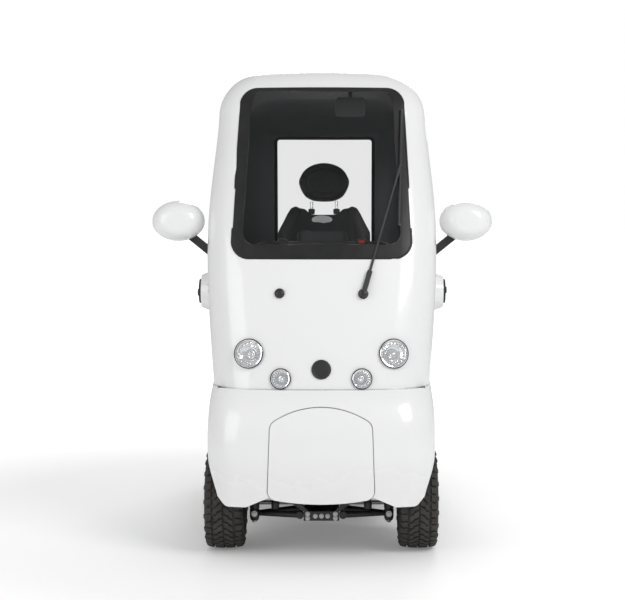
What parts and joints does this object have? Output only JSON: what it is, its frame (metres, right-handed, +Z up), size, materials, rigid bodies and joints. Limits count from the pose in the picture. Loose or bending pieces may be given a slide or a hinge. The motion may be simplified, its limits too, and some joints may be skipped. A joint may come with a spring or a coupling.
{
  "type": "enclosed mobility scooter",
  "caption": "Narrow enclosed mobility scooter with hinged side doors, a boot lid, tiller steering, a padded seat and chunky tyres.",
  "frame": {"origin": "on the ground under the middle of the scooter", "axes": "+Z up, the front faces -Y, +X is the rider's left-hand side"},
  "size_m": [1.1579, 1.6671, 1.6],
  "materials": {
    "body_white": "gloss",
    "black_trim": "satin",
    "grey_lining": "matt",
    "dash_black": "grained",
    "seal_rubber": "matt",
    "clear_glass": "clear",
    "mirror_glass": "polished",
    "lamp_chrome": "bright",
    "lens_clear": "clear",
    "tail_red": "gloss",
    "frame_black": "satin",
    "bright_steel": "brushed",
    "rim_silver": "satin",
    "tyre_rubber": "matt",
    "seat_cover": "satin",
    "battery_case": "matt"
  },
  "bodies": {
    "chassis": {"front_shell": "body_white", "rear_shell": "body_white", "roof_shell": "body_white", "front_fenders": "body_white", "front_hatch": "body_white", "windscreen": "clear_glass", "rear_windows": "clear_glass", "window_seals": "seal_rubber", "headliner": "grey_lining", "door_hinges": "black_trim", "lid_hinges": "black_trim", "dashboard": "dash_black", "bulkhead": "dash_black", "floor_pan": "dash_black", "frame": "frame_black", "battery_pack": "battery_case", "seat_plinth": "dash_black", "seat_pan": "frame_black", "seat_cushion": "seat_cover", "seat_back": "seat_cover", "seat_headrest": "seat_cover", "headrest_posts": "lamp_chrome", "armrests": "black_trim", "boot_tray": "dash_black", "front_arms": "frame_black", "transaxle": "frame_black", "shock_absorbers": "frame_black", "headlamps": "lamp_chrome", "lamp_lenses": "lens_clear", "front_caps": "black_trim", "wiper": "black_trim", "mirror_stalks": "black_trim", "mirror_housings": "body_white", "mirror_glasses": "mirror_glass", "interior_mirror": "black_trim", "tail_lamps": "tail_red", "rear_bumper": "black_trim"},
    "left_door": {"door_left": "body_white", "door_glass_left": "clear_glass", "door_handle_left": "black_trim"},
    "right_door": {"door_right": "body_white", "door_glass_right": "clear_glass", "door_handle_right": "black_trim"},
    "boot_lid_body": {"boot_lid": "body_white"},
    "left_knuckle": {"knuckle_left": "frame_black"},
    "right_knuckle": {"knuckle_right": "frame_black"},
    "tiller_body": {"tiller": "frame_black", "tiller_console": "dash_black"},
    "track_rod_body": {"track_rod": "bright_steel"},
    "wheel_front_left": {"rim_front_left": "rim_silver", "tyre_front_left": "tyre_rubber"},
    "wheel_front_right": {"rim_front_right": "rim_silver", "tyre_front_right": "tyre_rubber"},
    "wheel_rear_left": {"rim_rear_left": "rim_silver", "tyre_rear_left": "tyre_rubber"},
    "wheel_rear_right": {"rim_rear_right": "rim_silver", "tyre_rear_right": "tyre_rubber"}
  },
  "joints": [
    {"name": "tiller_turn", "type": "hinge", "parent": "chassis", "child": "tiller_body", "pos_m": [0, -0.5635, 0.145], "axis": [0, 0.2588, 0.9659], "range_deg": [-30, 30]},
    {"name": "left_steer", "type": "hinge", "parent": "chassis", "child": "left_knuckle", "pos_m": [0.222, -0.56, 0.165], "axis": [0, 0, 1], "range_deg": [-30, 30]},
    {"name": "right_steer", "type": "hinge", "parent": "chassis", "child": "right_knuckle", "pos_m": [-0.222, -0.56, 0.165], "axis": [0, 0, 1], "range_deg": [-30, 30]},
    {"name": "track_rod_slide", "type": "slide", "parent": "chassis", "child": "track_rod_body", "axis": [1, 0, 0], "range_m": [-0.0535, 0.0535]},
    {"name": "left_door_swing", "type": "hinge", "parent": "chassis", "child": "left_door", "pos_m": [0.405, 0.332, 0.8], "axis": [0, 0, 1], "range_deg": [0, 75]},
    {"name": "right_door_swing", "type": "hinge", "parent": "chassis", "child": "right_door", "pos_m": [-0.405, 0.332, 0.8], "axis": [0, 0, 1], "range_deg": [-75, 0]},
    {"name": "boot_lid_swing", "type": "hinge", "parent": "chassis", "child": "boot_lid_body", "pos_m": [0, 0.83, 0.892], "axis": [1, 0, 0], "range_deg": [0, 80]},
    {"name": "front_left_spin", "type": "hinge", "parent": "left_knuckle", "child": "wheel_front_left", "pos_m": [0.315, -0.56, 0.165], "axis": [1, 0, 0], "continuous": true},
    {"name": "front_right_spin", "type": "hinge", "parent": "right_knuckle", "child": "wheel_front_right", "pos_m": [-0.315, -0.56, 0.165], "axis": [1, 0, 0], "continuous": true},
    {"name": "rear_left_spin", "type": "hinge", "parent": "chassis", "child": "wheel_rear_left", "pos_m": [0.315, 0.545, 0.165], "axis": [1, 0, 0], "continuous": true},
    {"name": "rear_right_spin", "type": "hinge", "parent": "chassis", "child": "wheel_rear_right", "pos_m": [-0.315, 0.545, 0.165], "axis": [1, 0, 0], "continuous": true}
  ],
  "couplings": [
    {"joint": "left_steer", "follows": "tiller_turn", "ratio": 1},
    {"joint": "right_steer", "follows": "tiller_turn", "ratio": 1},
    {"joint": "track_rod_slide", "follows": "tiller_turn", "m_per_rad": -0.1}
  ]
}
